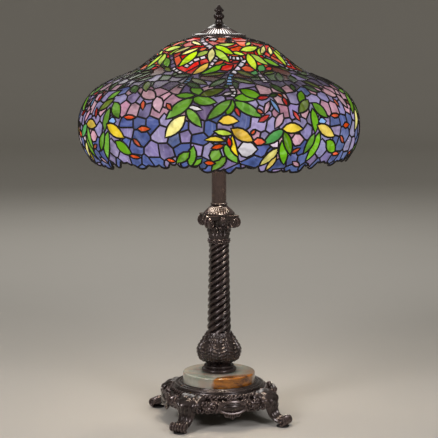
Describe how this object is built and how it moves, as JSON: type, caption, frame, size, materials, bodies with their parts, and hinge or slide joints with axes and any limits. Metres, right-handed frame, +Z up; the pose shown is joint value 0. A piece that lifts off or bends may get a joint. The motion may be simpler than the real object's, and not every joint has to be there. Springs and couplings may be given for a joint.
{
  "type": "stained glass table lamp",
  "caption": "Table lamp with a domed leaded-glass shade of leaves on mottled grounds, on a rope-twist bronze column, onyx disc and four-footed base.",
  "frame": {"origin": "on the table under the stem's axis, at the centre of the four feet", "axes": "+Z up along the stem; the feet stand on the diagonals between X and Y; the cord inlet is in the skirt on the +Y side"},
  "size_m": [0.525, 0.525, 0.7851],
  "materials": {
    "bronze": "dark bronze patina, satin, worn a little brighter on the high edges",
    "brass": "plain brass, slightly dulled",
    "steel": "plain zinc-plated steel",
    "onyx": "polished banded onyx, grey-green to amber",
    "art_glass": "leaded opalescent glass: green and yellow leaves, red, pink and blue grounds, dark solder lines",
    "solder": "dark-patinated solder",
    "porcelain": "white insulator",
    "bulb_base": "bright screw base",
    "bulb": "frosted, lit warm white",
    "felt": "dark felt",
    "black_plastic": "matte black"
  },
  "bodies": {
    "stand": {"felt_pads": "felt", "foot_1": "bronze", "foot_2": "bronze", "foot_3": "bronze", "foot_4": "bronze", "base_casting": "bronze", "cord_bushing": "black_plastic", "stone_disc": "onyx", "stem_washer": "steel", "stem_nut": "brass", "foot_collar": "bronze", "baluster": "bronze", "rope_column": "bronze", "bead_ring": "bronze", "capital": "bronze", "capital_dome": "bronze", "tube_ring": "bronze", "stem_tube": "bronze", "stem_pipe": "brass", "light_hub": "bronze", "hub_cover": "bronze", "shade_pipe": "brass", "seat_nut": "brass", "seat_wheel": "brass", "light_arm_1": "brass", "light_arm_2": "brass", "light_arm_3": "brass", "socket_cap_1": "brass", "socket_cap_2": "brass", "socket_cap_3": "brass", "socket_shell_1": "brass", "socket_shell_2": "brass", "socket_shell_3": "brass", "socket_core_1": "porcelain", "socket_core_2": "porcelain", "socket_core_3": "porcelain"},
    "shade": {"crown_ring": "bronze", "shade_crown": "art_glass", "shade_shoulder": "art_glass", "shade_skirt": "art_glass", "rim_wire": "solder", "heat_cap": "bronze"},
    "finial": {"finial": "bronze"},
    "bulb_1": {"bulb_screw_1": "bulb_base", "bulb_glass_1": "bulb"},
    "pull_1": {"pull_chain_1": "brass", "pull_knob_1": "brass"},
    "bulb_2": {"bulb_screw_2": "bulb_base", "bulb_glass_2": "bulb"},
    "pull_2": {"pull_chain_2": "brass", "pull_knob_2": "brass"},
    "bulb_3": {"bulb_screw_3": "bulb_base", "bulb_glass_3": "bulb"},
    "pull_3": {"pull_chain_3": "brass", "pull_knob_3": "brass"}
  },
  "joints": [
    {"name": "shade_turn", "type": "hinge", "parent": "stand", "child": "shade", "pos_m": [0, 0, 0.7246], "axis": [0, 0, 1], "continuous": true},
    {"name": "finial_turn", "type": "hinge", "parent": "stand", "child": "finial", "pos_m": [0, 0, 0.7526], "axis": [0, 0, 1], "continuous": true},
    {"name": "bulb_1_turn", "type": "hinge", "parent": "stand", "child": "bulb_1", "pos_m": [0, -0.0652, 0.60947], "axis": [0, -0.9659, 0.2588], "continuous": true},
    {"name": "bulb_2_turn", "type": "hinge", "parent": "stand", "child": "bulb_2", "pos_m": [0.05647, 0.0326, 0.60947], "axis": [0.8365, 0.483, 0.2588], "continuous": true},
    {"name": "bulb_3_turn", "type": "hinge", "parent": "stand", "child": "bulb_3", "pos_m": [-0.05647, 0.0326, 0.60947], "axis": [-0.8365, 0.483, 0.2588], "continuous": true},
    {"name": "pull_1", "type": "slide", "parent": "stand", "child": "pull_1", "axis": [0, 0, -1], "range_m": [0, 0.01], "stiffness_N_per_m": 300, "springref_m": -0.003},
    {"name": "pull_2", "type": "slide", "parent": "stand", "child": "pull_2", "axis": [0, 0, -1], "range_m": [0, 0.01], "stiffness_N_per_m": 300, "springref_m": -0.003},
    {"name": "pull_3", "type": "slide", "parent": "stand", "child": "pull_3", "axis": [0, 0, -1], "range_m": [0, 0.01], "stiffness_N_per_m": 300, "springref_m": -0.003}
  ]
}
